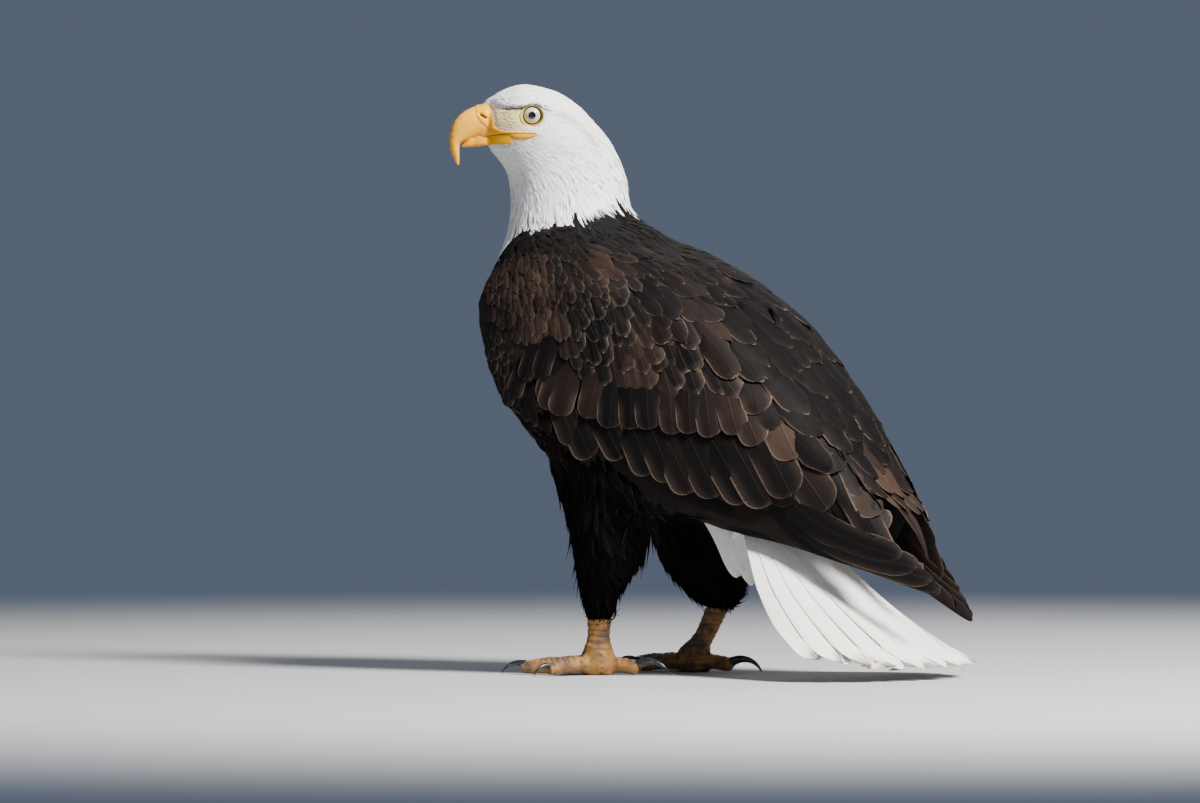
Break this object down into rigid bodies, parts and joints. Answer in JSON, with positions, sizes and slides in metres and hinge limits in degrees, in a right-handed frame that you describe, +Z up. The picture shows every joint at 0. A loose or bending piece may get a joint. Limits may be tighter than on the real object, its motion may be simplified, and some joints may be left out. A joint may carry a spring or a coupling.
{
  "type": "bald eagle",
  "caption": "Life-size still model of a perched adult bald eagle, wings folded, head turned to its left, tail laid on the floor.",
  "frame": {"origin": "on the floor, under the middle of the bird's bounding box", "axes": "+Z up from the floor; the body faces -X and the bird's left side is towards -Y"},
  "size_m": [0.5224, 0.2756, 0.5646],
  "materials": {
    "plumage_white": "white feathers of head, neck and tail",
    "plumage_dark": "blackish brown feathers with thin paler edges",
    "bill_horn": "smooth orange-yellow horn, softly glossy",
    "foot_skin": "scaly orange-yellow skin",
    "claw_horn": "black horn, glossy",
    "eye": "pale cream iris, black pupil, wet gloss"
  },
  "bodies": {
    "root": {"head": "plumage_white", "neck": "plumage_white", "trunk": "plumage_dark", "wing_left": "plumage_dark", "primaries_left": "plumage_dark", "wing_right": "plumage_dark", "primaries_right": "plumage_dark", "tail": "plumage_white", "thigh_left": "plumage_dark", "shank_left": "foot_skin", "toe_left_inner": "foot_skin", "claw_left_inner": "claw_horn", "toe_left_middle": "foot_skin", "claw_left_middle": "claw_horn", "toe_left_outer": "foot_skin", "claw_left_outer": "claw_horn", "toe_left_hind": "foot_skin", "claw_left_hind": "claw_horn", "thigh_right": "plumage_dark", "shank_right": "foot_skin", "toe_right_inner": "foot_skin", "claw_right_inner": "claw_horn", "toe_right_middle": "foot_skin", "claw_right_middle": "claw_horn", "toe_right_outer": "foot_skin", "claw_right_outer": "claw_horn", "toe_right_hind": "foot_skin", "claw_right_hind": "claw_horn", "bill_upper": "bill_horn", "bill_lower": "bill_horn", "eye_left": "eye", "eye_right": "eye"}
  },
  "joints": []
}
